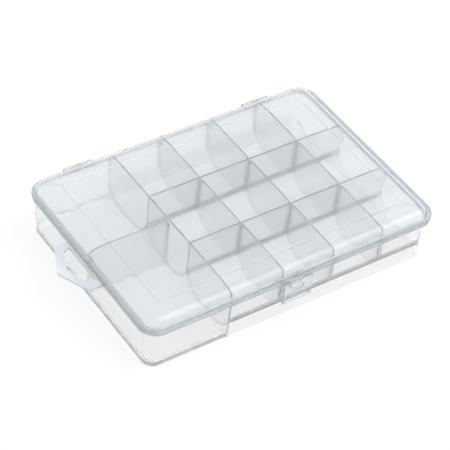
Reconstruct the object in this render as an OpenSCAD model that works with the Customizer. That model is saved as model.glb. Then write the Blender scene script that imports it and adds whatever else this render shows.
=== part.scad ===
// Hinged bead and small parts box, moulded in clear polypropylene.
// X runs along the long side, Y from the latch at the front to the hinges at the back, Z is up.
// The origin is on the surface that the box stands on, under the middle of its overall length and
// depth, which take in the hanging tab, the latch and the hinges.

/* [Box] */
// Length of the lid rim, left to right
box_w = 270; // [240:1:300]
// Depth of the walls at the parting line, with rim_reach in front of them and behind them
box_d = 188; // [165:1:210]
// Height of the tray up to the underside of its rim
tray_h = 38.6; // [34:0.2:50]
// Radius of the rim's corners in plan
corner_r = 15.5; // [13:0.5:20]
// How far the rim stands out past the front and side walls
rim_reach = 4.2; // [3.4:0.1:5]
// How far the rim stands out past the back wall, between the hinges
rim_reach_back = 1.2; // [1.1:0.1:2]

/* [Tray moulding] */
// Thickness of the outer walls
wall_t = 1.6; // [1.2:0.1:2]
// Thickness of the floor under the two large compartments
floor_t = 2; // [1.4:0.1:3]
// How much each side is set in at the bottom, so that the tray leaves its mould
draft = 1.5; // [0.5:0.1:2]
// Radius between the walls and the outside of the floor
foot_r = 1.1; // [0.5:0.1:1.1]
// Radius between the walls and the inside of the floor
floor_r = 6; // [3:0.1:8]
// Thickness of the tray's rim
tray_rim_t = 2.6; // [2:0.1:3.4]
// How far the tray's rim is set in behind the lid's rim
rim_set = 0.5; // [0.3:0.1:1]

/* [Compartments] */
// Width of the two large compartments on the left
large_w = 70; // [60:1:90]
// Thickness of the moulded dividers
divider_t = 1.6; // [1.2:0.1:2]
// Height of the small compartments' floor above the ground
scoop_floor_z = 4.5; // [4:0.1:6]
// Radius of the scoop at the front and back of each small compartment
scoop_r = 18; // [12:0.5:20]
// Thickness of the scooped floor
scoop_t = 1.5; // [1.2:0.1:2]

/* [Slip-in dividers] */
// Thickness of a slip-in divider
slip_t = 1.4; // [1:0.1:1.8]
// Gap between a slip-in divider and what it slides in
slip_gap = 0.15; // [0.1:0.05:0.3]
// Radius of a slip-in divider's top corners
slip_corner_r = 3.5; // [2:0.5:6]
// Thickness of a rib beside a slip-in divider
rib_t = 1.1; // [0.8:0.1:1.6]
// How far the ribs stand out from the wall behind them
rib_out = 1.8; // [1.2:0.1:2.4]
// How far the ribs on a moulded divider end below its top edge
rib_drop = 2.4; // [1.6:0.1:4]

/* [Lid] */
// Height of the lid's top above the parting line
lid_rise = 9.4; // [8:0.2:12]
// Thickness of the lid's top
lid_t = 1.4; // [1:0.1:1.8]
// Thickness of the lid's rim
lid_rim_t = 2.8; // [2:0.1:3.4]
// Radius of the lid's shoulder
shoulder_r = 6.5; // [5:0.1:6.8]
// Distance from the rim's edge to the crease round the flat panel
crease_in = 21.8; // [19:0.1:28]
// Slope of the band between the crease and the shoulder, in degrees
band_slope = 5; // [3:0.5:8]
// Gap between the lid and the dividers below it
lid_gap = 0.35; // [0.3:0.05:0.6]

/* [Hinges] */
// Distance from the end of the rim to the middle of a hinge
hinge_end = 50; // [35:1:75]
// Width of a hinge
hinge_w = 25; // [20:1:30]
// Width of the bracket in the middle of a hinge
bracket_w = 3; // [2.4:0.1:4]
// Radius of the hinge barrel
barrel_r = 2.2; // [2:0.1:2.4]
// Radius of the hinge pin
pin_r = 1.1; // [0.8:0.05:1.2]
// Running gap round the hinge pin
pin_gap = 0.05; // [0.03:0.01:0.1]
// Gap between the hinge barrel and the lid's rim in front of it
barrel_set = 0.3; // [0.15:0.05:0.4]
// Gap at each end of a hinge barrel
barrel_gap = 0.3; // [0.2:0.1:0.5]
// How far the straps to the barrels stay inside the barrels' radius
strap_set = 0.2; // [0:0.1:0.5]

/* [Latch] */
// Place of the latch's middle from left to right
latch_x = -1.5; // [-10:0.5:10]
// Width of the latch
latch_w = 26; // [20:1:34]
// Length of the latch below the lid's rim
latch_h = 20; // [16:0.5:24]
// Thickness of the latch
latch_t = 1.5; // [1.2:0.1:2]
// Gap between the latch and the tray behind it
latch_gap = 0.4; // [0.3:0.1:0.8]
// Width of the catch on the front wall
catch_w = 10.5; // [8:0.5:14]
// Height of the catch
catch_h = 6.4; // [5:0.2:8]
// Distance from the rim's underside down to the catch
catch_drop = 1.6; // [1:0.2:4]
// Radius of the catch's lower corners
catch_r = 2; // [1:0.5:3]
// Gap round the catch in the latch's window
window_gap = 0.7; // [0.4:0.1:1]

// Width of the raised border down each side of the latch
border_w = 3; // [2:0.5:4]
// Height of that border
border_out = 0.7; // [0.4:0.1:1]
// Radius of the lip along the latch's lower edge
lip_r = 1.1; // [0.8:0.1:1.3]
// Radius of the bead that the latch turns on
bead_r = 0.6; // [0.5:0.01:0.62]

/* [Hanging tab] */
// Place of the tab's middle from front to back
tab_y = -3; // [-20:1:20]
// Width of the tab at the rim
tab_w = 53; // [46:1:60]
// How far the tab's point stands out from the rim
tab_reach = 23.5; // [21:0.5:28]
// Thickness of the tab
tab_t = 2; // [1.6:0.1:2.6]
// Width of the tab's plastic round its slot
tab_band = 8; // [6:0.5:10]
// Distance from the rim to where the tab begins to narrow
tab_straight = 13.5; // [11:0.5:16]
// Radius of the tab's corners
tab_corner_r = 4; // [2:0.5:5]
// Distance from the rim to the slot
slot_in = 2.5; // [2:0.1:3]
// Distance from the rim to where the slot begins to narrow
slot_straight = 7; // [5.5:0.5:9]
// How much further the slot reaches at each end beside the rim
slot_flare = 1; // [0:0.2:2]
// Radius of the slot's corners
slot_corner_r = 1.2; // [0.8:0.1:1.6]

/* [Hidden] */
$fn = 64;

// Columns of small compartments, as many as the slip-in dividers in NODES make
small_columns = 4;

clear_pp = "gainsboro";
divider_pp = "lightsteelblue";

// The parting line, where the two rims meet, and the top of the lid
part_z = tray_h + tray_rim_t;
top_z = part_z + lid_rise;

// Half sizes, out to the lid rim's outer edge at the front and sides, and the middles of the
// rounded corners
half_w = box_w / 2;
half_d = box_d / 2;
core_w = half_w - corner_r;
core_d = half_d - corner_r;

// Radius of the walls' corners at the parting line, outside and inside, and the wall's lean
wall_r = corner_r - rim_reach;
lean = draft / tray_h;
cut = 1;

// The dividing walls
main_x = -(half_w - rim_reach - wall_t) + large_w + divider_t / 2;
cells_left = main_x + divider_t / 2;
cells_right = half_w - rim_reach - wall_t;
small_w = (cells_right - cells_left - (small_columns - 1) * divider_t) / small_columns;
function column_x(i) = cells_left + i * (small_w + divider_t) - divider_t / 2;

// Each row runs between the walls' inner faces at the height where its scoops begin
scoop_top_z = scoop_floor_z + scoop_r;
row_reach = half_d - rim_reach - wall_t - lean * (part_z - scoop_top_z);
row_d = (2 * row_reach - 2 * divider_t) / 3;
function row_start(i) = -row_reach + i * (row_d + divider_t);
function row_end(i) = row_start(i) + row_d;
// The scooped sheet stops this far below the line where it would meet the leaning wall edgeways
sheet_drop = 2;
// Where the underside of a scoop meets the wall that it curves up to
scoop_root_z = scoop_top_z - sqrt(pow(scoop_r + scoop_t, 2) - pow(scoop_r, 2));

// The lid's shoulder is an arc that meets the sloping band without a step
shoulder_x = wall_r - shoulder_r;
shoulder_z = top_z - tan(band_slope) * (crease_in - rim_reach - shoulder_r) - shoulder_r / cos(band_slope);
// Offset from the lid's outer face to the top edge of a divider
divider_set = lid_t + lid_gap;

// The hinge pin runs behind the rims, level with the parting line
rim_back_y = half_d - rim_reach + rim_reach_back;
pin_y = rim_back_y + barrel_r + barrel_set;
pin_z = part_z;
barrel_w = (hinge_w - bracket_w) / 2 - barrel_gap;

// Back face of the latch, which hangs in front of the tray's rim, and the catch behind its window
latch_y = -half_d + rim_set - latch_gap;
catch_top_z = tray_h - catch_drop;

// Where the middle of a hinge is, and how high the ribs reach beside a moulded divider
hinge_x = half_w - hinge_end;
rib_top = top_z - divider_set - rib_drop;
// Ribs on an outer wall lie within this distance of the rim's edge
rib_zone = rim_reach + draft + wall_t + rib_out;

// What stands out furthest on each side
left_x = -half_w + rim_set - tab_reach;
front_y = latch_y - latch_t - lip_r;
back_y = pin_y + barrel_r;

// ---- Shapes shared by several pieces ----

// The pieces are drawn round the middle of the walls, and moved from there to the origin
module in_place() {
    translate([-(left_x + half_w) / 2, -(front_y + back_y) / 2, 0]) children();
}

// A solid round the edge of the box: the children are a section whose x runs outwards from the
// line through the corners' middles
module round_the_edge() {
    for (side = [[1, 1, 0], [-1, 1, 90], [-1, -1, 180], [1, -1, 270]])
        translate([side[0] * core_w, side[1] * core_d, 0])
            rotate([0, 0, side[2]]) rotate_extrude(angle = 90) children();
    for (side = [0, 180]) {
        rotate([0, 0, side]) translate([core_w, core_d, 0])
            rotate([90, 0, 0]) linear_extrude(2 * core_d) children();
        rotate([0, 0, side]) translate([-core_w, core_d, 0])
            rotate([90, 0, 90]) linear_extrude(2 * core_w) children();
    }
}

module core_block(low_z, high_z) {
    translate([-core_w, -core_d, low_z]) cube([2 * core_w, 2 * core_d, high_z - low_z]);
}

// Section of what a leaning wall encloses, offset inwards by inset
module leaning_section(inset, low_z, high_z) {
    low_x = wall_r - inset - lean * (part_z - low_z);
    high_x = wall_r - inset - lean * (part_z - high_z);
    polygon([[0, low_z], [low_x, low_z], [high_x, high_z], [0, high_z]]);
}

// The same with a rounded foot
module footed_section(inset, low_z, high_z, fillet) {
    low_x = wall_r - inset - lean * (part_z - low_z);
    high_x = wall_r - inset - lean * (part_z - high_z);
    slant = atan(lean);
    middle_x = low_x - fillet / tan((90 + slant) / 2);
    polygon([
        [0, low_z], [middle_x, low_z], [middle_x, low_z + fillet],
        [middle_x + fillet * cos(slant), low_z + fillet - fillet * sin(slant)],
        [high_x, high_z], [0, high_z]
    ]);
    intersection() {
        translate([middle_x, low_z + fillet]) circle(fillet);
        translate([middle_x, low_z]) square([2 * fillet, fillet]);
    }
}

// The tray's outside, and its inside above low_z
module tray_outside() {
    round_the_edge() footed_section(0, 0, part_z, foot_r);
    core_block(0, part_z);
}

module tray_inside() {
    round_the_edge() footed_section(wall_t, floor_t, part_z + cut, floor_r);
    core_block(floor_t, part_z + cut);
}

// Inside of the walls round the small compartments, which are open underneath
module skirt_inside() {
    round_the_edge() leaning_section(wall_t, -cut, part_z + cut);
    core_block(-cut, part_z + cut);
}

// A plate with the rim's outline, set in from the lid rim's edge
module rim_plate(inset, low_z, high_z) {
    back_d = rim_back_y - corner_r;
    translate([0, 0, low_z]) linear_extrude(high_z - low_z)
        rounded_shape(
            [[-core_w, -core_d], [core_w, -core_d], [core_w, back_d], [-core_w, back_d]],
            corner_r - inset
        );
}

// The lid's outer shape offset inwards: a flat panel, a sloping band and a rounded shoulder
module dome(inset, low_z) {
    turn_r = shoulder_r - inset;
    touch_x = shoulder_x + turn_r * sin(band_slope);
    touch_z = shoulder_z + turn_r * cos(band_slope);
    edge_z = touch_z + tan(band_slope) * touch_x;
    panel_z = top_z - inset;
    crease = (panel_z - edge_z) / tan(band_slope);
    round_the_edge() dome_edge(inset, low_z);
    intersection() {
        rotate([90, 0, 90]) translate([0, 0, -core_w])
            linear_extrude(2 * core_w) hip(core_d, crease, low_z, edge_z, panel_z);
        rotate([90, 0, 0]) translate([0, 0, -core_d])
            linear_extrude(2 * core_d) hip(core_w, crease, low_z, edge_z, panel_z);
    }
}

module dome_edge(inset, low_z) {
    turn_r = shoulder_r - inset;
    touch_x = shoulder_x + turn_r * sin(band_slope);
    touch_z = shoulder_z + turn_r * cos(band_slope);
    translate([0, low_z]) square([wall_r - inset, shoulder_z - low_z]);
    polygon([
        [0, shoulder_z], [shoulder_x, shoulder_z], [touch_x, touch_z],
        [0, touch_z + tan(band_slope) * touch_x]
    ]);
    intersection() {
        translate([shoulder_x, shoulder_z]) circle(turn_r);
        translate([shoulder_x, shoulder_z]) square([turn_r, turn_r]);
    }
}

// Section of the lid's middle: flat in the middle, sloping down to both sides
module hip(reach, crease, low_z, edge_z, panel_z) {
    polygon([
        [-reach, low_z], [reach, low_z], [reach, edge_z], [reach - crease, panel_z],
        [crease - reach, panel_z], [-reach, edge_z]
    ]);
}

// Section across the box of all that lies under the lid, offset inwards; reach is to the rim's edge
module under_lid(reach, inset, low_z) {
    core = reach - corner_r;
    turn_r = shoulder_r - inset;
    edge_z = shoulder_z + turn_r * cos(band_slope)
        + tan(band_slope) * (shoulder_x + turn_r * sin(band_slope));
    panel_z = top_z - inset;
    hip(core, (panel_z - edge_z) / tan(band_slope), low_z, edge_z, panel_z);
    for (side = [0, 1])
        mirror([side, 0]) translate([core, 0]) dome_edge(inset, low_z);
}

// Section of a small compartment in row i with its scoops, its sides drawn in by gap
module cell_section(i, gap) {
    start = row_start(i) + gap;
    length = row_d - 2 * gap;
    turn_r = scoop_r - gap;
    middle_z = scoop_floor_z + turn_r;
    translate([start, middle_z]) square([length, top_z - middle_z]);
    translate([start + turn_r, scoop_floor_z]) square([length - 2 * turn_r, turn_r]);
    for (middle_y = [start + turn_r, start + length - turn_r])
        intersection() {
            translate([middle_y, middle_z]) circle(turn_r);
            translate([middle_y - turn_r, scoop_floor_z]) square([2 * turn_r, turn_r]);
        }
}

// The children are a section across the box, seen from its right end or from its front
module along_x(from_x, to_x) {
    translate([from_x, 0, 0]) rotate([90, 0, 90]) linear_extrude(to_x - from_x) children();
}

module along_y(from_y, to_y) {
    translate([0, to_y, 0]) rotate([90, 0, 0]) linear_extrude(to_y - from_y) children();
}

// Corners of a convex outline whose corners are rounded by circles of radius r at the points c
function outward(a, b) = [b[1] - a[1], a[0] - b[0]] / norm(b - a);
function rounded_outline(c, r) = [
    for (i = [0:len(c) - 1])
        let (before = c[(i + len(c) - 1) % len(c)], here = c[i], after = c[(i + 1) % len(c)])
            each [here + r * outward(before, here), here + r * outward(here, after)]
];
module rounded_shape(c, r) {
    polygon(rounded_outline(c, r));
    for (point = c) translate(point) circle(r);
}

// ---- The tray moulding ----

module base_tray() color(clear_pp) in_place() {
    difference() {
        tray_outside();
        intersection() {
            tray_inside();
            translate([-box_w, -half_d, -cut]) cube([box_w + cells_left, box_d, top_z]);
        }
        intersection() {
            skirt_inside();
            translate([cells_left, -half_d, -2 * cut]) cube([box_w, box_d, top_z]);
        }
    }
}

module base_rim() color(clear_pp) in_place() {
    difference() {
        rim_plate(rim_set, tray_h, part_z);
        round_the_edge() leaning_section(0, tray_h - cut, part_z + cut);
        core_block(tray_h - cut, part_z + cut);
    }
}

module hang_tab() color(clear_pp) in_place() {
    r = tab_corner_r;
    slot_r = slot_corner_r;
    edge_x = -half_w + rim_set;
    slot_low = tab_w / 2 - tab_band;
    translate([0, tab_y, part_z - tab_t]) linear_extrude(tab_t) difference() {
        union() {
            rounded_shape([
                [edge_x - tab_reach + r, 0],
                [edge_x - tab_straight + r, -tab_w / 2 + r],
                [edge_x - r, -tab_w / 2 + r],
                [edge_x - r, tab_w / 2 - r],
                [edge_x - tab_straight + r, tab_w / 2 - r]
            ], r);
            translate([edge_x - r, -tab_w / 2]) square([r, tab_w]);
        }
        rounded_shape([
            [edge_x - tab_reach + tab_band + slot_r, 0],
            [edge_x - slot_straight, -slot_low + slot_r],
            [edge_x - slot_in - slot_r, -slot_low - slot_flare + slot_r],
            [edge_x - slot_in - slot_r, slot_low + slot_flare - slot_r],
            [edge_x - slot_straight, slot_low - slot_r]
        ], slot_r);
    }
}

module main_divider() color(clear_pp) in_place() {
    along_x(main_x - divider_t / 2, cells_left) intersection() {
        under_lid(half_d, divider_set, 0);
        between_walls(half_d, 0);
    }
}

// Section across the left part of the tray's inside, carried on above the parting line
module between_walls(reach, gap) {
    core = reach - corner_r;
    translate([-core, floor_t]) square([2 * core, top_z - floor_t]);
    for (side = [0, 1])
        mirror([side, 0]) translate([core, 0])
            footed_section(wall_t + gap, floor_t, top_z, floor_r);
}

module row_divider(i) color(clear_pp) in_place() {
    along_y(row_end(i), row_start(i + 1)) intersection() {
        under_lid(half_w, divider_set, 0);
        union() {
            translate([cells_left, scoop_root_z]) square([core_w - cells_left, top_z]);
            translate([core_w, 0]) leaning_section(wall_t, scoop_root_z, top_z);
        }
    }
}

module row_divider_front() row_divider(0);
module row_divider_back() row_divider(1);

module scoop_floor(i) color(clear_pp) in_place() {
    from_y = i == 0 ? -half_d : row_start(i);
    to_y = i == 2 ? half_d : row_end(i);
    intersection() {
        along_x(cells_left, half_w) difference() {
            intersection() {
                scoop_underside(i);
                translate([from_y, 0]) square([to_y - from_y, scoop_top_z - sheet_drop]);
            }
            cell_section(i, 0);
        }
        skirt_inside();
    }
}

// Section of a scooped floor with the compartment above it
module scoop_underside(i) {
    turn_r = scoop_r + scoop_t;
    low_z = scoop_top_z - turn_r;
    translate([row_start(i) + scoop_r, low_z]) square([row_d - 2 * scoop_r, turn_r]);
    for (middle_y = [row_start(i) + scoop_r, row_end(i) - scoop_r])
        intersection() {
            translate([middle_y, scoop_top_z]) circle(turn_r);
            translate([middle_y - turn_r, low_z]) square([2 * turn_r, turn_r]);
        }
}

module scoop_floor_front() scoop_floor(0);
module scoop_floor_middle() scoop_floor(1);
module scoop_floor_back() scoop_floor(2);

// Pairs of ribs that hold the slip-in dividers at both ends; they end at the rim on an outer wall
module divider_channels() color(clear_pp) in_place() {
    near = slip_t / 2 + slip_gap;
    for (i = [0:2])
        intersection() {
            for (k = [1:small_columns - 1], x = [column_x(k) - near - rib_t, column_x(k) + near]) {
                if (i == 0) translate([x, -half_d, 0]) cube([rib_t, rib_zone, part_z]);
                else translate([x, row_start(i), 0]) cube([rib_t, rib_out, rib_top]);
                if (i == 2) translate([x, half_d - rib_zone, 0]) cube([rib_t, rib_zone, part_z]);
                else translate([x, row_end(i) - rib_out, 0]) cube([rib_t, rib_out, rib_top]);
            }
            along_x(cells_left, half_w) {
                cell_section(i, 0);
                if (i == 0) translate([-half_d, scoop_top_z]) square([rib_zone, part_z]);
                if (i == 2) translate([half_d - rib_zone, scoop_top_z]) square([rib_zone, part_z]);
            }
            union() {
                skirt_inside();
                core_block(part_z, top_z);
            }
        }
    for (y = [-near - rib_t, near]) {
        intersection() {
            translate([-half_w, y, 0]) cube([rib_zone, rib_t, part_z]);
            tray_inside();
        }
        translate([main_x - divider_t / 2 - rib_out, y, floor_t])
            cube([rib_out, rib_t, rib_top - floor_t]);
    }
}

// A plate with rounded lower corners, its top edge on the X axis
module shield(width, height, corner) {
    translate([-width / 2, corner - height]) square([width, height - corner]);
    translate([corner - width / 2, -height]) square([width - 2 * corner, corner]);
    for (side = [-1, 1])
        translate([side * (width / 2 - corner), corner - height]) circle(corner);
}

// The block on the front wall that the latch closes over
module catch_boss() color(clear_pp) in_place() {
    difference() {
        translate([latch_x, 0, catch_top_z])
            along_y(latch_y + latch_gap, rim_reach + draft - half_d) shield(catch_w, catch_h, catch_r);
        tray_outside();
    }
}

// ---- The hinges ----

module hinge_bracket(x) color(clear_pp) in_place() {
    low_z = pin_z - barrel_r + strap_set;
    along_x(x - bracket_w / 2, x + bracket_w / 2) difference() {
        union() {
            translate([pin_y, pin_z]) circle(barrel_r);
            translate([rim_back_y - rim_set, low_z])
                square([pin_y - rim_back_y + rim_set, pin_z - lid_gap - low_z]);
        }
        translate([pin_y, pin_z]) circle(pin_r);
    }
}

module hinge_bracket_left() hinge_bracket(-hinge_x);
module hinge_bracket_right() hinge_bracket(hinge_x);

module hinge_pin(x) color(clear_pp) in_place() {
    along_x(x - hinge_w / 2, x + hinge_w / 2) translate([pin_y, pin_z]) circle(pin_r);
}

module hinge_pin_left() hinge_pin(-hinge_x);
module hinge_pin_right() hinge_pin(hinge_x);

module lid_knuckles(x) color(clear_pp) in_place() {
    for (from_x = [x - hinge_w / 2, x + hinge_w / 2 - barrel_w])
        along_x(from_x, from_x + barrel_w) difference() {
            union() {
                translate([pin_y, pin_z]) circle(barrel_r);
                translate([rim_back_y, part_z])
                    square([pin_y - rim_back_y, pin_z + barrel_r - strap_set - part_z]);
            }
            translate([pin_y, pin_z]) circle(pin_r + pin_gap);
        }
}

module lid_knuckles_left() lid_knuckles(-hinge_x);
module lid_knuckles_right() lid_knuckles(hinge_x);

// ---- The lid ----

module lid_dome() color(clear_pp) in_place() {
    difference() {
        dome(0, part_z);
        dome(lid_t, part_z - cut);
    }
}

module lid_rim() color(clear_pp) in_place() {
    difference() {
        rim_plate(0, part_z, part_z + lid_rim_t);
        dome(0, part_z - cut);
    }
}

module latch_tab() color(clear_pp) in_place() {
    from_x = latch_x - latch_w / 2;
    bottom = part_z - latch_h;
    difference() {
        union() {
            along_x(from_x, from_x + latch_w) {
                translate([latch_y - latch_t, bottom]) square([latch_t, latch_h - lid_gap]);
                translate([latch_y - latch_t, bottom]) circle(lip_r);
                translate([latch_y - latch_t / 2, part_z]) circle(bead_r);
            }
            for (x = [from_x, from_x + latch_w - border_w])
                translate([x, latch_y - latch_t - border_out, bottom])
                    cube([border_w, latch_t, latch_h - 2 * bead_r]);
        }
        translate([latch_x, 0, catch_top_z + window_gap])
            along_y(latch_y - 2 * latch_t, latch_y + cut)
                shield(catch_w + 2 * window_gap, catch_h + 2 * window_gap, catch_r + window_gap);
    }
}

// ---- The slip-in dividers ----

// Section of a slip-in divider's top, rounded at the ends that stand beside a moulded divider
module rounded_top(from, to, round_from, round_to) {
    high_z = top_z - divider_set;
    r = slip_corner_r;
    straight_from = from + (round_from ? r : 0);
    straight_to = to - (round_to ? r : 0);
    translate([from, 0]) square([to - from, high_z - r]);
    translate([straight_from, 0]) square([straight_to - straight_from, high_z]);
    if (round_from) translate([from + r, high_z - r]) circle(r);
    if (round_to) translate([to - r, high_z - r]) circle(r);
}

module column_divider(k, i) color(divider_pp) in_place() {
    along_x(column_x(k) - slip_t / 2, column_x(k) + slip_t / 2) intersection() {
        cell_section(i, slip_gap);
        under_lid(half_d, divider_set, 0);
        rounded_top(row_start(i) + slip_gap, row_end(i) - slip_gap, i != 0, i != 2);
    }
}

module cross_divider() color(divider_pp) in_place() {
    to_x = main_x - divider_t / 2 - slip_gap;
    along_y(-slip_t / 2, slip_t / 2) intersection() {
        between_walls(half_w, slip_gap);
        under_lid(half_w, divider_set, 0);
        rounded_top(-half_w, to_x, false, true);
    }
}

module column_divider_1_front() column_divider(1, 0);
module column_divider_1_middle() column_divider(1, 1);
module column_divider_1_back() column_divider(1, 2);
module column_divider_2_front() column_divider(2, 0);
module column_divider_2_middle() column_divider(2, 1);
module column_divider_2_back() column_divider(2, 2);
module column_divider_3_front() column_divider(3, 0);
module column_divider_3_middle() column_divider(3, 1);
module column_divider_3_back() column_divider(3, 2);

base_tray();
base_rim();
hang_tab();
main_divider();
row_divider_front();
row_divider_back();
scoop_floor_front();
scoop_floor_middle();
scoop_floor_back();
divider_channels();
catch_boss();
hinge_bracket_left();
hinge_bracket_right();
hinge_pin_left();
hinge_pin_right();
cross_divider();
column_divider_1_front();
column_divider_1_middle();
column_divider_1_back();
column_divider_2_front();
column_divider_2_middle();
column_divider_2_back();
column_divider_3_front();
column_divider_3_middle();
column_divider_3_back();
lid_dome();
lid_rim();
lid_knuckles_left();
lid_knuckles_right();
latch_tab();
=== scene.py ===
import math

import bpy
from mathutils import Matrix, Vector


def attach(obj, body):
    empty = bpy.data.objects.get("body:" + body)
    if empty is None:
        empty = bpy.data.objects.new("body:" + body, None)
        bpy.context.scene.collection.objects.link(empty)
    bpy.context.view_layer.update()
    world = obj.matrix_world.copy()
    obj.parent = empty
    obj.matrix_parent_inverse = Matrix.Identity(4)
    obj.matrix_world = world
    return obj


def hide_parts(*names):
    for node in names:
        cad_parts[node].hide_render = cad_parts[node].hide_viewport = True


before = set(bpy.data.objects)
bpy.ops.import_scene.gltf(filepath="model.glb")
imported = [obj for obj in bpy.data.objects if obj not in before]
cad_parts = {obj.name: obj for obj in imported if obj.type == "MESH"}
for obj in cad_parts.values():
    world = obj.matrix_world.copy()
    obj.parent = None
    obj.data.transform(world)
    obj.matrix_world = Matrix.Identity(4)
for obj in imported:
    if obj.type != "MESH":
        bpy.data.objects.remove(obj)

for name in ("Cube", "Light", "Camera"):    # what a new Blender file already holds
    if name in bpy.data.objects:
        bpy.data.objects.remove(bpy.data.objects[name])
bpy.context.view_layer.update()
mm = 0.001

# sizes in mm, as the part's solids have them, apart from rimGap and rimEdge, which are only here;
# the box is drawn round the middle of its walls, and boxMiddle says where that is in the frame
boxSizes = {
    "boxMiddle": (11.5, 0.4), "halfW": 135.0, "halfD": 94.0, "cornerR": 15.5,
    "rimReach": 4.2, "rimBack": 1.2, "wallT": 1.6, "draft": 1.5, "trayH": 38.6, "partZ": 41.2,
    "topZ": 50.6, "floorT": 2.0, "footR": 1.1, "floorR": 6.0, "rimSet": 0.5, "rimGap": 0.05,
    "rimEdge": 0.5,
}
s = boxSizes
coreW = s["halfW"] - s["cornerR"]
coreD = s["halfD"] - s["cornerR"]
wallR = s["cornerR"] - s["rimReach"]
lean = s["draft"] / s["trayH"]
rimBackY = s["halfD"] - s["rimReach"] + s["rimBack"]
cornerSteps = 14    # facets round a quarter turn of the box's corners
sameSpot = 0.00001    # metres; points nearer than this are taken as one

cellSizes = {
    "mainX": -58.4, "dividerT": 1.6, "cellsLeft": -57.6, "cellsRight": 129.2, "columns": 4,
    "scoopFloorZ": 4.5, "scoopR": 18.0, "scoopT": 1.5, "slipT": 1.4, "slipGap": 0.15,
    "slipCornerR": 3.5, "ribT": 1.1, "ribOut": 1.8, "ribRootZ": 16.5, "ribLowZ": 13.6,
    "ribHighZ": 46.0, "ribTaper": 0.6,
}
c = cellSizes
smallW = (c["cellsRight"] - c["cellsLeft"] - (c["columns"] - 1) * c["dividerT"]) / c["columns"]
scoopTopZ = c["scoopFloorZ"] + c["scoopR"]
rowReach = s["halfD"] - s["rimReach"] - s["wallT"] - lean * (s["partZ"] - scoopTopZ)
rowD = (2 * rowReach - 2 * c["dividerT"]) / 3


def columnX(k):
    return c["cellsLeft"] + k * (smallW + c["dividerT"]) - c["dividerT"] / 2


def rowStart(i):
    return -rowReach + i * (rowD + c["dividerT"])


def rowEnd(i):
    return rowStart(i) + rowD


lidSizes = {
    "lidT": 1.4, "rimT": 2.8, "shoulderR": 6.5, "creaseIn": 21.8, "slope": 5.0, "gap": 0.35,
    "grooveW": 0.7, "grooveDepth": 0.3, "foldW": 0.5,
}
d = lidSizes
slopeTan = math.tan(math.radians(d["slope"]))
shoulderX = wallR - d["shoulderR"]
shoulderZ = (s["topZ"] - slopeTan * (d["creaseIn"] - s["rimReach"] - d["shoulderR"])
             - d["shoulderR"] / math.cos(math.radians(d["slope"])))
dividerSet = d["lidT"] + d["gap"]

hingeSizes = {
    "x": 85.0, "width": 25.0, "bracketW": 3.0, "barrelR": 2.2, "barrelSet": 0.3, "barrelGap": 0.3,
    "boreR": 1.15, "strapSet": 0.2,
}
latchSizes = {
    "x": -1.5, "width": 26.0, "height": 20.0, "thick": 1.5, "gap": 0.4, "catchW": 10.5,
    "catchH": 6.4, "catchDrop": 1.6, "catchR": 2.0, "windowGap": 0.7, "borderW": 3.0,
    "borderOut": 0.7, "lipR": 1.1, "beadR": 0.6,
}
tabSizes = {
    "y": -3.0, "width": 53.0, "reach": 23.5, "thick": 2.0, "band": 8.0, "cornerR": 4.0,
    "noseRun": 10, "slotR": 1.2, "slotIn": 2.5, "slotBend": 7, "slotFlare": 1, "edge": 0.35,
}
pinY = rimBackY + hingeSizes["barrelR"] + hingeSizes["barrelSet"]
latchY = -s["halfD"] + s["rimSet"] - latchSizes["gap"]


# ---- small tools for modelling ----
def deselectAll():
    if bpy.context.object and bpy.context.object.mode != "OBJECT":
        bpy.ops.object.mode_set(mode="OBJECT")
    bpy.ops.object.select_all(action="DESELECT")


def makeActive(piece):
    deselectAll()
    piece.select_set(True)
    bpy.context.view_layer.objects.active = piece


# draws a line of points as by hand: a plane is merged to one point, which is then extruded
def drawLine(name, points, closed=False):
    deselectAll()
    bpy.ops.mesh.primitive_plane_add(size=mm, location=[v * mm for v in points[0]])
    piece = bpy.context.object
    piece.name = name
    bpy.ops.object.transform_apply(location=True)
    bpy.ops.object.mode_set(mode="EDIT")
    bpy.ops.mesh.merge(type="CENTER")
    for here, after in zip(points, points[1:]):
        step = (Vector(after) - Vector(here)) * mm
        bpy.ops.mesh.extrude_region_move(TRANSFORM_OT_translate={"value": step})
    if closed:
        bpy.ops.mesh.select_all(action="SELECT")
        bpy.ops.mesh.edge_face_add()
    return piece


# carries a section round the box: a quarter spin at each corner and a straight run between
def sweepRound(piece):
    turns = [(coreW, coreD, (-2 * coreW, 0)), (-coreW, coreD, (0, -2 * coreD)),
             (-coreW, -coreD, (2 * coreW, 0)), (coreW, -coreD, (0, 2 * coreD))]
    for x, y, run in turns:
        bpy.ops.mesh.spin(steps=cornerSteps, angle=math.radians(-90), center=(x * mm, y * mm, 0),
                          axis=(0, 0, 1))
        bpy.ops.mesh.extrude_region_move(
            TRANSFORM_OT_translate={"value": (run[0] * mm, run[1] * mm, 0)})
    bpy.ops.mesh.select_all(action="SELECT")
    bpy.ops.mesh.remove_doubles(threshold=sameSpot)
    return piece


def leaveEdit():
    bpy.ops.mesh.select_all(action="SELECT")
    bpy.ops.mesh.normals_make_consistent(inside=False)
    bpy.ops.object.mode_set(mode="OBJECT")


def sectionPoints(points):
    return [(coreW + x, coreD, z) for x, z in points]


def arcPoints(x, z, r, start, end, steps):
    angles = [math.radians(start + (end - start) * n / steps) for n in range(steps + 1)]
    return [(x + r * math.cos(a), z + r * math.sin(a)) for a in angles]


def booleanWith(piece, other, operation):
    makeActive(piece)
    bpy.ops.object.modifier_add(type="BOOLEAN")
    modifier = piece.modifiers[-1]
    modifier.operation = operation
    modifier.solver = "MANIFOLD"
    modifier.object = other
    bpy.ops.object.modifier_apply(modifier=modifier.name)
    bpy.data.objects.remove(other)
    return piece


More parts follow.
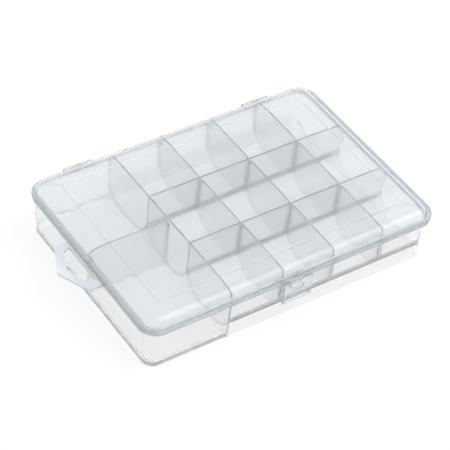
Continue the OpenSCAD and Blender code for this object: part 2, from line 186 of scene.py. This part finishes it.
def bevelEdges(piece, width, segments=2, angle=40):
    makeActive(piece)
    bpy.ops.object.modifier_add(type="BEVEL")
    modifier = piece.modifiers[-1]
    modifier.width = width * mm
    modifier.segments = segments
    modifier.limit_method = "ANGLE"
    modifier.angle_limit = math.radians(angle)
    modifier.harden_normals = False
    bpy.ops.object.modifier_apply(modifier=modifier.name)
    return piece


# a plate: its outline is drawn, filled and extruded by depth along the given axis
def plateFrom(name, points, depth):
    piece = drawLine(name, points, closed=True)
    bpy.ops.mesh.extrude_region_move(
        TRANSFORM_OT_translate={"value": [v * mm for v in depth]})
    leaveEdit()
    return piece


def alongX(name, outline, fromX, toX):
    return plateFrom(name, [(fromX, y, z) for y, z in outline], (toX - fromX, 0, 0))


def alongY(name, outline, fromY, toY):
    return plateFrom(name, [(x, fromY, z) for x, z in outline], (0, toY - fromY, 0))


def joinPieces(pieces):
    makeActive(pieces[0])
    for piece in pieces:
        piece.select_set(True)
    bpy.ops.object.join()
    return pieces[0]


def smoothPiece(piece, angle=30):
    makeActive(piece)
    bpy.ops.object.shade_smooth_by_angle(angle=math.radians(angle))
    bpy.ops.object.modifier_add(type="WEIGHTED_NORMAL")
    modifier = piece.modifiers[-1]
    modifier.keep_sharp = True
    modifier.weight = 100
    bpy.ops.object.modifier_apply(modifier=modifier.name)
    return piece


def moveToFrame(piece):
    x, y = boxSizes["boxMiddle"]
    piece.data.transform(Matrix.Translation((x * mm, y * mm, 0)))
    return piece


# the line under or over the lid, from one side of the box to the other
def lidLine(half, inset):
    core = half - s["cornerR"]
    turnR = d["shoulderR"] - inset
    arc = arcPoints(core + shoulderX, shoulderZ, turnR, 0, 90 - d["slope"], 6)
    panelZ = s["topZ"] - inset
    touchX, touchZ = arc[-1]
    creaseX = touchX - (panelZ - touchZ) / slopeTan
    right = arc + [(creaseX, panelZ)]
    return [(-x, z) for x, z in right] + right[::-1]


# ---- tray ----
# the tray's outside as a full block, out of which the compartments are cut
def makeTrayBlock():
    slant = math.degrees(math.atan(lean))
    lowX = wallR - lean * s["partZ"]
    footX = lowX - s["footR"] / math.tan(math.radians((90 + slant) / 2))
    foot = arcPoints(footX, s["footR"], s["footR"], -90, -slant, 8)
    high = s["partZ"] - s["rimGap"]
    section = [(0, 0)] + foot + [(wallR - lean * s["rimGap"], high), (0, high)]
    return sweepBlock("trayMoulding", section)


# the room inside the walls over the floor on the left, with its rounded foot
def makeFloorRoom():
    innerTop = wallR - s["wallT"]
    slant = math.degrees(math.atan(lean))
    lowX = innerTop - lean * (s["partZ"] - s["floorT"])
    middleX = lowX - s["floorR"] / math.tan(math.radians((90 + slant) / 2))
    foot = arcPoints(middleX, s["floorT"] + s["floorR"], s["floorR"], -90, -slant, 12)
    high = s["partZ"] + 1
    return sweepBlock("room", [(0, s["floorT"])] + foot + [(innerTop + lean, high), (0, high)])


# a solid block round the box from a section that starts and ends on the line x = 0
def sweepBlock(name, section):
    block = drawLine(name, sectionPoints(section))
    bpy.ops.mesh.select_all(action="SELECT")
    sweepRound(block)
    fillMiddle(section[0][1])
    fillMiddle(section[-1][1])
    leaveEdit()
    return block


# fills the rectangle left open in the middle at height z; returns with its face selected
def fillMiddle(z):
    bpy.ops.mesh.select_all(action="DESELECT")
    bpy.ops.object.mode_set(mode="OBJECT")
    for v in bpy.context.object.data.vertices:
        v.select = (abs(v.co.z - z * mm) < sameSpot and abs(abs(v.co.x) - coreW * mm) < sameSpot
                    and abs(abs(v.co.y) - coreD * mm) < sameSpot)
    bpy.ops.object.mode_set(mode="EDIT")
    bpy.ops.mesh.edge_face_add()


# a solid filling the inside of the walls, offset outwards by grow, from lowZ to highZ
def makeInsideBlock(name, grow, lowZ, highZ):
    lowX = wallR - s["wallT"] + grow - lean * (s["partZ"] - lowZ)
    highX = wallR - s["wallT"] + grow + lean * (highZ - s["partZ"])
    return sweepBlock(name, [(0, lowZ), (lowX, lowZ), (highX, highZ), (0, highZ)])


# keeps what lies on one side of an upright plane across the box, way being 1 for its right side
def keepSide(block, x, way):
    makeActive(block)
    bpy.ops.object.mode_set(mode="EDIT")
    bpy.ops.mesh.select_all(action="SELECT")
    bpy.ops.mesh.bisect(plane_co=(x * mm, 0, 0), plane_no=(way, 0, 0), use_fill=True,
                        clear_inner=True)
    leaveEdit()
    return block


print("tools ready")


# the two halves of the tray: a floor on the left, and walls open underneath on the right
def makeTrayShell():
    tray = makeTrayBlock()
    left = keepSide(makeFloorRoom(), c["cellsLeft"] - 0.6, -1)
    right = keepSide(makeInsideBlock("rooms", 0, -1, s["partZ"] + 1), c["cellsLeft"] - 1.0, 1)
    booleanWith(tray, left, "DIFFERENCE")
    return booleanWith(tray, right, "DIFFERENCE")


# dividers moulded with the tray
def makeMouldedDividers():
    t = c["dividerT"]
    line = lidLine(s["halfD"], dividerSet)
    side = s["partZ"] - 0.3
    outer = line[0][0] - 0.5
    outline = ([(outer, 0.02), (outer, side), (line[0][0], side)] + line
               + [(line[-1][0], side), (-outer, side), (-outer, 0.02)])
    main = alongX("mainDivider", outline, c["mainX"] - t / 2, c["mainX"] + t / 2)
    bevelEdges(main, 0.4, 3)
    line = [p for p in lidLine(s["halfW"], dividerSet) if p[0] > 0]
    rows = []
    for i in (0, 1):
        wallX = line[-1][0] + 0.5
        outline = ([(c["cellsLeft"] - 0.5, line[0][1])] + line
                   + [(line[-1][0], side), (wallX, side), (wallX - lean * (side - 16), 16),
                      (c["cellsLeft"] - 0.5, 16)])
        row = alongY(f"rowDivider{i}", outline, rowEnd(i), rowStart(i + 1))
        bevelEdges(row, 0.4, 3)
        rows.append(row)
    return [main] + rows


# the three scooped floors, each a bent sheet, cut to the inside of the walls
def makeScoops():
    sheets = []
    for i in range(3):
        nearY, farY = rowStart(i) + c["scoopR"], rowEnd(i) - c["scoopR"]
        outerR = c["scoopR"] + c["scoopT"]
        top = scoopTopZ - 1.0
        inner = (arcPoints(nearY, scoopTopZ, c["scoopR"], 183.2, 270, 10)
                 + arcPoints(farY, scoopTopZ, c["scoopR"], 270, 356.8, 10))
        outer = (arcPoints(nearY, scoopTopZ, outerR, 182.9, 270, 10)
                 + arcPoints(farY, scoopTopZ, outerR, 270, 357.1, 10))
        sheets.append(alongX(f"scoop{i}", inner + outer[::-1], c["cellsLeft"] - 0.5, 130))
    block = makeInsideBlock("block", 0.8, -1, s["partZ"])
    floors = []
    for sheet in sheets:
        copy = block.copy()
        copy.data = block.data.copy()
        bpy.context.collection.objects.link(copy)
        floors.append(booleanWith(sheet, copy, "INTERSECT"))
    bpy.data.objects.remove(block)
    return floors


# pairs of ribs beside each slip-in divider
def makeRibs():
    near = c["slipT"] / 2 + c["slipGap"]
    out, t = c["ribOut"], c["ribT"]
    ribs = []
    for i in range(3):
        for k in range(1, c["columns"]):
            for x in (columnX(k) - near - t, columnX(k) + near):
                for y, way, atWall in ((rowStart(i), 1, i == 0), (rowEnd(i), -1, i == 2)):
                    top = s["partZ"] - 0.5 if atWall else c["ribHighZ"]
                    back = 1.0 if atWall else 0.5
                    outline = [(y - way * back, c["ribRootZ"]), (y + way * out, c["ribLowZ"]),
                               (y + way * out, top - 1), (y + way * (out - c["ribTaper"]), top),
                               (y - way * back, top)]
                    ribs.append(alongX("rib", outline, x, x + t))
    for y in (-near - t, near):
        wallX = -s["halfW"] + s["rimReach"] + 0.6
        low, high = s["floorT"] - 0.5, s["partZ"] - 0.5
        outline = [(wallX + lean * s["partZ"], low), (wallX + 3.3 + lean * s["partZ"], low),
                   (wallX + 2.9, high), (wallX, high)]
        ribs.append(alongY("rib", outline, y, y + t))
        x = c["mainX"] - c["dividerT"] / 2
        top = c["ribHighZ"]
        outline = [(x - out, low), (x + 0.5, low), (x + 0.5, top), (x - out + c["ribTaper"], top),
                   (x - out, top - 1)]
        ribs.append(alongY("rib", outline, y, y + t))
    return ribs


tray = makeTrayShell()
print("tray shell")
for piece in makeMouldedDividers() + makeScoops():
    booleanWith(tray, piece, "UNION")
print("dividers and scoops")
booleanWith(tray, joinPieces(makeRibs()), "UNION")
print("ribs")


# points round a convex outline whose corners are circles of radius r at the given centres
def roundedOutline(centres, r, steps=5):
    points = []
    for i, (x, y) in enumerate(centres):
        beforeX, beforeY = centres[i - 1]
        afterX, afterY = centres[(i + 1) % len(centres)]
        start = math.atan2(beforeX - x, y - beforeY)
        turn = (math.atan2(x - afterX, afterY - y) - start) % (2 * math.pi)
        points += [(x + r * math.cos(start + turn * n / steps), y + r * math.sin(start + turn * n / steps))
                   for n in range(steps + 1)]
    return points


# the rim of the tray or the lid, a plate round the wall, so close that no gap shows
def makeRim(name, inset, lowZ, highZ):
    backY = rimBackY - s["cornerR"]
    centres = [(-coreW, -coreD), (coreW, -coreD), (coreW, backY), (-coreW, backY)]
    outline = roundedOutline(centres, s["cornerR"] - inset, cornerSteps)
    rim = plateFrom(name, [(x, y, lowZ) for x, y in outline], (0, 0, highZ - lowZ))
    bevelEdges(rim, s["rimEdge"], 3)
    hole = makeInsideBlock("hole", s["wallT"] + 0.02, lowZ - 1, highZ + 1)
    return booleanWith(rim, hole, "DIFFERENCE")


# ---- the tab that the box hangs from, on its left side ----
def makeHangTab():
    edge = -s["halfW"] + s["rimSet"]
    far, half = edge - tabSizes["reach"], tabSizes["width"] / 2
    corner, inner, slotIn = tabSizes["cornerR"], tabSizes["slotR"], tabSizes["slotIn"]
    bendX, flareY = edge - tabSizes["slotBend"], half - tabSizes["band"] + tabSizes["slotFlare"]
    low, high = s["partZ"] - tabSizes["thick"] + 0.05, s["partZ"] - 0.06
    shoulder = far + tabSizes["noseRun"] + corner
    outline = roundedOutline([
        (far + corner, 0), (shoulder, -half + corner), (edge + slotIn, -half + corner),
        (edge + slotIn, half - corner), (shoulder, half - corner)], corner)
    tab = plateFrom("hangTab", [(x, y + tabSizes["y"], low) for x, y in outline], (0, 0, high - low))
    slotHalf = half - tabSizes["band"]
    slotLine = roundedOutline([
        (far + tabSizes["band"] + inner, 0), (bendX, -slotHalf + inner),
        (edge - slotIn - inner, -flareY + inner), (edge - slotIn - inner, flareY - inner),
        (bendX, slotHalf - inner)], inner)
    slot = plateFrom("slot", [(x, y + tabSizes["y"], low - 1) for x, y in slotLine], (0, 0, 4))
    booleanWith(tab, slot, "DIFFERENCE")
    bevelEdges(tab, tabSizes["edge"])
    return keepSide(tab, edge - 0.02, -1)


def shieldOutline(width, height, corner, topZ):
    half = width / 2
    x = latchSizes["x"]
    left = arcPoints(x - half + corner, topZ - height + corner, corner, 180, 270, 6)
    right = arcPoints(x + half - corner, topZ - height + corner, corner, 270, 360, 6)
    return [(x - half, topZ)] + left + right + [(x + half, topZ)]


# the block on the front wall that the latch closes over
def makeCatchBoss():
    outline = shieldOutline(latchSizes["catchW"], latchSizes["catchH"], latchSizes["catchR"],
                            s["trayH"] - latchSizes["catchDrop"])
    boss = alongY("catchBoss", outline, latchY + latchSizes["gap"], -s["halfD"] + s["rimReach"] + 0.8)
    return bevelEdges(boss, 0.35)


# a barrel with its strap, lowZ and highZ being the strap's faces; the bore is cut through
def makeBarrel(name, fromX, toX, lowZ, highZ):
    r = hingeSizes["barrelR"]
    low = -180 + math.degrees(math.asin(min(1, (s["partZ"] - lowZ) / r)))
    high = 180 - math.degrees(math.asin((highZ - s["partZ"]) / r))
    outline = [(rimBackY - 0.7, lowZ)] + arcPoints(pinY, s["partZ"], r, low, high, 20)
    barrel = alongX(name, outline + [(rimBackY - 0.7, highZ)], fromX, toX)
    bevelEdges(barrel, 0.25)
    bore = alongX("bore", arcPoints(pinY, s["partZ"], hingeSizes["boreR"], 0, 337.5, 15),
                  fromX - 1, toX + 1)
    return booleanWith(barrel, bore, "DIFFERENCE")


def makeBrackets():
    half = hingeSizes["bracketW"] / 2
    low = s["partZ"] - hingeSizes["barrelR"] + hingeSizes["strapSet"]
    return [makeBarrel("bracket", x - half, x + half, low, s["partZ"] - d["gap"])
            for x in (-hingeSizes["x"], hingeSizes["x"])]


booleanWith(tray, makeCatchBoss(), "UNION")
trayRim = makeRim("trayRim", s["rimSet"], s["trayH"], s["partZ"] - s["rimGap"])
for piece in makeBrackets():
    booleanWith(trayRim, piece, "UNION")
smoothPiece(tray)
moveToFrame(tray)
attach(tray, "box")
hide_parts("base_tray", "main_divider", "row_divider_front", "row_divider_back",
            "scoop_floor_front", "scoop_floor_middle", "scoop_floor_back", "divider_channels",
            "catch_boss")
# the tab's frosted plastic is also made denser and darker, which paints shade along its edges
hangTab = makeHangTab()    # moulded with the tray, but with a frosted skin
for piece in (trayRim, hangTab):
    smoothPiece(piece)
    moveToFrame(piece)
    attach(piece, "box")
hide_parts("base_rim", "hinge_bracket_left", "hinge_bracket_right")
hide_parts("hang_tab")
print("tray moulding finished")


# ---- lid ----
# one face of the lid's shoulder, from its foot up to the sloping band, and the band's low end
def shoulderLine(inset):
    arc = arcPoints(shoulderX, shoulderZ, d["shoulderR"] - inset, 0, 90 - d["slope"], 16)
    return arc, arc[-1][1] + slopeTan * arc[-1][0]


# the flat panel and the sloping band round it; a fine groove marks the crease between them
def makeLid():
    outer, outerZ = shoulderLine(0)
    inner, innerZ = shoulderLine(d["lidT"])
    foot = s["partZ"] + s["rimGap"]
    section = ([(0, outerZ)] + outer[::-1] + [(wallR, foot), (wallR - d["lidT"], foot)] + inner
               + [(0, innerZ)])
    lid = drawLine("lidMoulding", sectionPoints(section))
    bpy.ops.mesh.select_all(action="SELECT")
    sweepRound(lid)
    inward = d["creaseIn"] - s["cornerR"]
    groove = d["grooveW"] / 2
    fillMiddle(outerZ)
    for step, z in ((inward - groove, s["topZ"] - slopeTan * groove),
                    (groove, s["topZ"] - d["grooveDepth"]), (groove, s["topZ"])):
        bpy.ops.mesh.inset(thickness=step * mm, depth=0)
        bpy.ops.transform.translate(value=(0, 0, z * mm - selectedHeight()))
    fillMiddle(innerZ)
    bpy.ops.mesh.inset(thickness=inward * mm, depth=0)
    bpy.ops.transform.translate(value=(0, 0, (s["topZ"] - d["lidT"] - innerZ) * mm))
    leaveEdit()
    return lid


# a fine groove along each corner's fold, from the flat panel's corner out to the shoulder
def cutFolds(lid):
    inner = (s["halfW"] - d["creaseIn"], s["halfD"] - d["creaseIn"], s["topZ"])
    outer = (coreW, coreD, shoulderLine(0)[1])
    half = d["foldW"] / 2 * math.sqrt(0.5)
    for wayX, wayY in ((1, 1), (-1, 1), (-1, -1), (1, -1)):
        low, high = -d["grooveDepth"], 1
        line = [(*inner[:2], inner[2] + low), (*outer[:2], outer[2] + low),
                (*outer[:2], outer[2] + high), (*inner[:2], inner[2] + high)]
        points = [(wayX * (x - half), wayY * (y + half), z) for x, y, z in line]
        fold = plateFrom("fold", points, (2 * half * wayX, -2 * half * wayY, 0))
        booleanWith(lid, fold, "DIFFERENCE")


def selectedHeight():
    bpy.ops.object.mode_set(mode="OBJECT")
    heights = [v.co.z for v in bpy.context.object.data.vertices if v.select]
    bpy.ops.object.mode_set(mode="EDIT")
    return heights[0]


lid = makeLid()
cutFolds(lid)
lidRim = makeRim("lidRim", 0, s["partZ"] + s["rimGap"], s["partZ"] + d["rimT"])
barrelW = (hingeSizes["width"] - hingeSizes["bracketW"]) / 2 - hingeSizes["barrelGap"]
for x in (-hingeSizes["x"], hingeSizes["x"]):
    for fromX in (x - hingeSizes["width"] / 2, x + hingeSizes["width"] / 2 - barrelW):
        knuckle = makeBarrel("knuckle", fromX, fromX + barrelW, s["partZ"] + s["rimGap"],
                             s["partZ"] + hingeSizes["barrelR"] - hingeSizes["strapSet"])
        booleanWith(lidRim, knuckle, "UNION")
for piece in (lid, lidRim):
    smoothPiece(piece)
    moveToFrame(piece)
    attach(piece, "lid")
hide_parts("lid_dome")
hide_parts("lid_rim", "lid_knuckles_left", "lid_knuckles_right")
print("lid finished")


# ---- latch ----
def makeLatch():
    m = latchSizes
    fromX, toX = m["x"] - m["width"] / 2, m["x"] + m["width"] / 2
    bottom, top = s["partZ"] - m["height"], s["partZ"] - 0.35
    back, front = latchY, latchY - m["thick"]
    section = [(back, top), (back, bottom)]
    section += arcPoints(front, bottom, m["lipR"], -30, -270, 9)
    section += [(front, top)]
    latch = alongX("latchPlate", section, fromX, toX)
    for x in (fromX, toX - m["borderW"]):
        border = alongY("border", [(x + 0.02, bottom + 0.3), (x + m["borderW"] - 0.02, bottom + 0.3),
                                   (x + m["borderW"] - 0.02, top - 0.9), (x + 0.02, top - 0.9)],
                        front - m["borderOut"], front + 0.5)
        bevelEdges(border, 0.3)
        booleanWith(latch, border, "UNION")
    bead = alongX("bead", arcPoints((back + front) / 2, s["partZ"], m["beadR"], 0, 330, 11),
                  fromX + 0.01, toX - 0.01)
    booleanWith(latch, bead, "UNION")
    gap = m["windowGap"]
    outline = shieldOutline(m["catchW"] + 2 * gap, m["catchH"] + 2 * gap, m["catchR"] + gap,
                            s["trayH"] - m["catchDrop"] + gap)
    window = alongY("window", outline, front - 2, back + 1)
    booleanWith(latch, window, "DIFFERENCE")
    return latch


latch = makeLatch()
smoothPiece(latch)
moveToFrame(latch)
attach(latch, "latch")
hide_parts("latch_tab")
print("latch finished")


# ---- slip-in dividers ----
dividerTopZ = s["topZ"] - dividerSet


# height of the line under the lid at a distance from the box's middle
def underLid(half, inset, at):
    line = [p for p in lidLine(half, inset) if p[0] > 0][::-1]
    for (nearX, nearZ), (farX, farZ) in zip(line, line[1:]):
        if nearX <= at <= farX:
            return nearZ + (farZ - nearZ) * (at - nearX) / (farX - nearX)
    return dividerTopZ


def columnOutline(i):
    gap, r = c["slipGap"], c["slipCornerR"]
    start, end = rowStart(i) + gap, rowEnd(i) - gap
    turnR = c["scoopR"] - gap
    outline = (arcPoints(start + turnR, c["scoopFloorZ"] + turnR, turnR, 180, 270, 10)
               + arcPoints(end - turnR, c["scoopFloorZ"] + turnR, turnR, 270, 360, 10))
    lidEdge = [p for p in lidLine(s["halfD"], dividerSet) if 0 < p[0] < end]
    if i == 2:
        outline += [(end, underLid(s["halfD"], dividerSet, end))] + lidEdge[::-1]
    else:
        outline += arcPoints(end - r, dividerTopZ - r, r, 0, 90, 5)
    if i == 0:
        outline += [(-y, z) for y, z in lidEdge] + [(start, underLid(s["halfD"], dividerSet, -start))]
    else:
        outline += arcPoints(start + r, dividerTopZ - r, r, 90, 180, 5)
    return outline


def crossOutline():
    gap, r = c["slipGap"], c["slipCornerR"]
    toX = c["mainX"] - c["dividerT"] / 2 - gap
    inset = s["wallT"] + gap
    slant = math.degrees(math.atan(lean))
    lowX = wallR - inset - lean * (s["partZ"] - s["floorT"])
    middleX = lowX - s["floorR"] / math.tan(math.radians((90 + slant) / 2))
    foot = arcPoints(-coreW - middleX, s["floorT"] + s["floorR"] + 0.02, s["floorR"], 180 + slant, 270, 6)
    sideX = lidLine(s["halfW"], dividerSet)[0][0]
    lidEdge = [p for p in lidLine(s["halfW"], dividerSet) if p[0] < 0]
    return ([(sideX, s["partZ"])] + foot + [(toX, s["floorT"] + 0.02)]
            + arcPoints(toX - r, dividerTopZ - r, r, 0, 90, 5) + lidEdge[::-1])


def finishDivider(piece, node):
    bevelEdges(piece, 0.3)
    smoothPiece(piece)
    moveToFrame(piece)
    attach(piece, "box")
    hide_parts(node)
    return piece


slips = []
half = c["slipT"] / 2
for i, place in enumerate(("front", "middle", "back")):
    for k in range(1, c["columns"]):
        piece = alongX(f"columnDivider{k}{place.capitalize()}", columnOutline(i),
                       columnX(k) - half, columnX(k) + half)
        slips.append(finishDivider(piece, f"column_divider_{k}_{place}"))
slips.append(finishDivider(alongY("crossDivider", crossOutline(), -half, half), "cross_divider"))
print("slip-in dividers finished")


# ---- materials ----
def hexColour(code):
    channels = [int(code[i:i + 2], 16) / 255 for i in (0, 2, 4)]
    linear = [v / 12.92 if v <= 0.04045 else ((v + 0.055) / 1.055) ** 2.4 for v in channels]
    return (*linear, 1)


def addNode(tree, kind, settings=None, links=None):
    node = tree.nodes.new(kind)
    for name, value in (settings or {}).items():
        if isinstance(name, int) or name in node.inputs:
            node.inputs[name].default_value = value
        else:
            setattr(node, name, value)
    for name, socket in (links or {}).items():
        tree.links.new(socket, node.inputs[name])
    return node


# injection-moulded polypropylene: glossy but never quite clear. A little light scatters on its
# skin, which looks milky, and thick or edge-on plastic goes a cool grey. milk is the share of
# light that scatters, and depth is how strongly a metre of plastic takes light away. All are
# matched to the photograph, and ior is a little under the 1.49 that is usual for the plastic.
plasticLook = {
    "trayPolypropylene": {"milk": 0.1, "haze": "F5F8FC", "tint": "BCC7CB", "depth": 2.0},
    "lidPolypropylene": {"milk": 0.08, "haze": "F0F5FA", "tint": "B8C4CC", "depth": 70.0},
    "dividerPolypropylene": {"milk": 0.14, "haze": "F6F9FD", "tint": "B9C5CC", "depth": 5.0},
    # the rims wear a darker, denser copy of the same plastic: its grey is painted shade for the dark lines
    # along the rims' edges
    "rimShadedPolypropylene": {"milk": 0.04, "haze": "E6EBEE", "tint": "BAC1C6", "depth": 140.0},
    # the hang tab is frosted like the real one, and its plastic is also denser and darker than the tray's,
    # which paints shade along its edges and its slot
    "frostedShadedPolypropylene": {"milk": 0.35, "haze": "E9EEF3", "tint": "BCC7CB", "depth": 180.0},
}
plasticSkin = {"flowMm": 25.0, "smooth": 0.07, "dull": 0.14, "ior": 1.47}    # marks of the melt's flow


def makePolypropylene(name):
    look, skin = plasticLook[name], plasticSkin
    material = bpy.data.materials.new(name)
    material.use_nodes = True
    tree = material.node_tree
    tree.nodes.clear()
    place = addNode(tree, "ShaderNodeTexCoord")
    flow = addNode(tree, "ShaderNodeTexNoise", {"Scale": 1000.0 / skin["flowMm"], "Detail": 3.0},
                   {"Vector": place.outputs["Object"]})
    rough = addNode(tree, "ShaderNodeMapRange", {"To Min": skin["smooth"], "To Max": skin["dull"]},
                    {"Value": flow.outputs["Fac"]})
    clear = addNode(tree, "ShaderNodeBsdfPrincipled",
                    {"Base Color": (1, 1, 1, 1), "IOR": skin["ior"], "Transmission Weight": 1.0},
                    {"Roughness": rough.outputs["Result"]})
    side = addNode(tree, "ShaderNodeNewGeometry")
    outside = addNode(tree, "ShaderNodeBsdfDiffuse", {"Color": hexColour(look["haze"])})
    inside = addNode(tree, "ShaderNodeBsdfTranslucent", {"Color": hexColour(look["haze"])})
    haze = addNode(tree, "ShaderNodeMixShader", links={
        "Fac": side.outputs["Backfacing"], 1: outside.outputs["BSDF"], 2: inside.outputs["BSDF"]})
    both = addNode(tree, "ShaderNodeMixShader", {"Fac": look["milk"]},
                   {1: clear.outputs["BSDF"], 2: haze.outputs["Shader"]})
    inner = addNode(tree, "ShaderNodeVolumeAbsorption",
                    {"Color": hexColour(look["tint"]), "Density": look["depth"]})
    addNode(tree, "ShaderNodeOutputMaterial",
            links={"Surface": both.outputs["Shader"], "Volume": inner.outputs["Volume"]})
    return material


def dress(piece, material):
    piece.data.materials.clear()
    piece.data.materials.append(material)


pins = [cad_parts[f"hinge_pin_{side}"] for side in ("left", "right")]
wear = {"trayPolypropylene": [tray] + pins, "lidPolypropylene": [lid, latch],
        "dividerPolypropylene": slips, "rimShadedPolypropylene": [trayRim, lidRim],
        "frostedShadedPolypropylene": [hangTab]}
for name, pieces in wear.items():
    material = makePolypropylene(name)
    for piece in pieces:
        dress(piece, material)
print("materials finished")


# ---- camera, from the photograph ----
cameraSizes = {"around": -37.71, "above": 43.27, "roll": 6.43, "away": 1525.0, "focalPixels": 1904.0,
               "shift": (2.17, 15.31), "photoWidth": 450}


def placeCamera():
    m = cameraSizes
    az, el, roll = (math.radians(m[key]) for key in ("around", "above", "roll"))
    back = Vector((math.sin(az) * math.cos(el), -math.cos(az) * math.cos(el), math.sin(el)))
    right = Vector((math.cos(az), math.sin(az), 0))
    up = back.cross(right)
    right, up = (right * math.cos(roll) + up * math.sin(roll), up * math.cos(roll) - right * math.sin(roll))
    scale = m["away"] / m["focalPixels"]
    place = back * m["away"] - right * m["shift"][0] * scale + up * m["shift"][1] * scale
    place += Vector((*s["boxMiddle"], 0))
    data = bpy.data.cameras.new("camera")
    data.sensor_width = 36
    data.lens = m["focalPixels"] * data.sensor_width / m["photoWidth"]
    data.clip_start, data.clip_end = 0.05, 30
    camera = bpy.data.objects.new("camera", data)
    bpy.context.collection.objects.link(camera)
    turn = Matrix((right, up, back)).transposed().to_4x4()
    camera.matrix_world = Matrix.Translation(place * mm) @ turn
    bpy.context.scene.camera = camera


placeCamera()


# ---- floor, background and light ----
# the floor is drawn white for the eye and for glass, and glowShare is how much of that is its own
# light; what is left of its matt colour holds the shadow. The room greys from lowZ up to highZ.
stageLook = {
    "floorSize": 30, "floorDrop": 0.0002, "floorColour": "FAFAFA", "glowShare": 0.85,
    "lowZ": 0.25, "lowColour": "FFFFFF", "highZ": 0.6, "highColour": "E8ECEF",
}


def makeStage():
    look = stageLook
    deselectAll()
    bpy.ops.mesh.primitive_plane_add(size=look["floorSize"], location=(0, 0, -look["floorDrop"]))
    floor = bpy.context.object
    floor.name = "floor"
    material = bpy.data.materials.new("paleFloor")
    material.use_nodes = True
    tree = material.node_tree
    tree.nodes.clear()
    rays = addNode(tree, "ShaderNodeLightPath")
    seen = addNode(tree, "ShaderNodeMath", {"operation": "MAXIMUM"},
                   {0: rays.outputs["Is Camera Ray"], 1: rays.outputs["Is Glossy Ray"]})
    seen = addNode(tree, "ShaderNodeMath", {"operation": "MAXIMUM"},
                   {0: seen.outputs[0], 1: rays.outputs["Is Transmission Ray"]})
    share = addNode(tree, "ShaderNodeMath", {"operation": "MULTIPLY", 1: look["glowShare"]},
                    {0: seen.outputs[0]})
    matt = addNode(tree, "ShaderNodeBsdfDiffuse", {"Color": hexColour(look["floorColour"])})
    glow = addNode(tree, "ShaderNodeEmission", {"Color": (1, 1, 1, 1), "Strength": 1.0})
    both = addNode(tree, "ShaderNodeMixShader", links={"Fac": share.outputs[0], 1: matt.outputs["BSDF"],
                                                       2: glow.outputs["Emission"]})
    addNode(tree, "ShaderNodeOutputMaterial", links={"Surface": both.outputs["Shader"]})
    floor.data.materials.append(material)
    world = bpy.data.worlds.new("room")
    world.use_nodes = True
    tree = world.node_tree
    tree.nodes.clear()
    rays = addNode(tree, "ShaderNodeLightPath")
    way = addNode(tree, "ShaderNodeTexCoord")
    height = addNode(tree, "ShaderNodeSeparateXYZ", links={"Vector": way.outputs["Generated"]})
    grey = addNode(tree, "ShaderNodeValToRGB", links={"Fac": height.outputs["Z"]})
    low, high = grey.color_ramp.elements
    low.position, low.color = look["lowZ"], hexColour(look["lowColour"])
    high.position, high.color = look["highZ"], hexColour(look["highColour"])
    room = addNode(tree, "ShaderNodeBackground", {"Strength": 1.0}, {"Color": grey.outputs["Color"]})
    white = addNode(tree, "ShaderNodeBackground", {"Color": (1, 1, 1, 1), "Strength": 1.0})
    both = addNode(tree, "ShaderNodeMixShader", links={"Fac": rays.outputs["Is Camera Ray"],
                                                       1: room.outputs[0], 2: white.outputs[0]})
    addNode(tree, "ShaderNodeOutputWorld", links={"Surface": both.outputs["Shader"]})
    bpy.context.scene.world = world


# place and size in metres, power in watts
lampSizes = {"overhead": ((0.9, -0.6, 1.7), 1.9, 26.0), "back": ((-0.6, 1.8, 1.0), 1.0, 3.0)}


def makeLamps():
    for name, (place, size, power) in lampSizes.items():
        data = bpy.data.lights.new(name, "AREA")
        data.shape = "SQUARE"
        data.size = size
        data.energy = power
        lamp = bpy.data.objects.new(name, data)
        bpy.context.collection.objects.link(lamp)
        toward = -Vector(place)
        lamp.matrix_world = (Matrix.Translation(place)
                             @ toward.to_track_quat("-Z", "Y").to_matrix().to_4x4())


makeStage()
makeLamps()
bpy.context.scene.view_settings.view_transform = "Standard"
bpy.context.scene.cycles.max_bounces = 32    # light passes through many thin walls
bpy.context.scene.cycles.transmission_bounces = 32
bpy.context.scene.cycles.glossy_bounces = 12
print("stage finished")
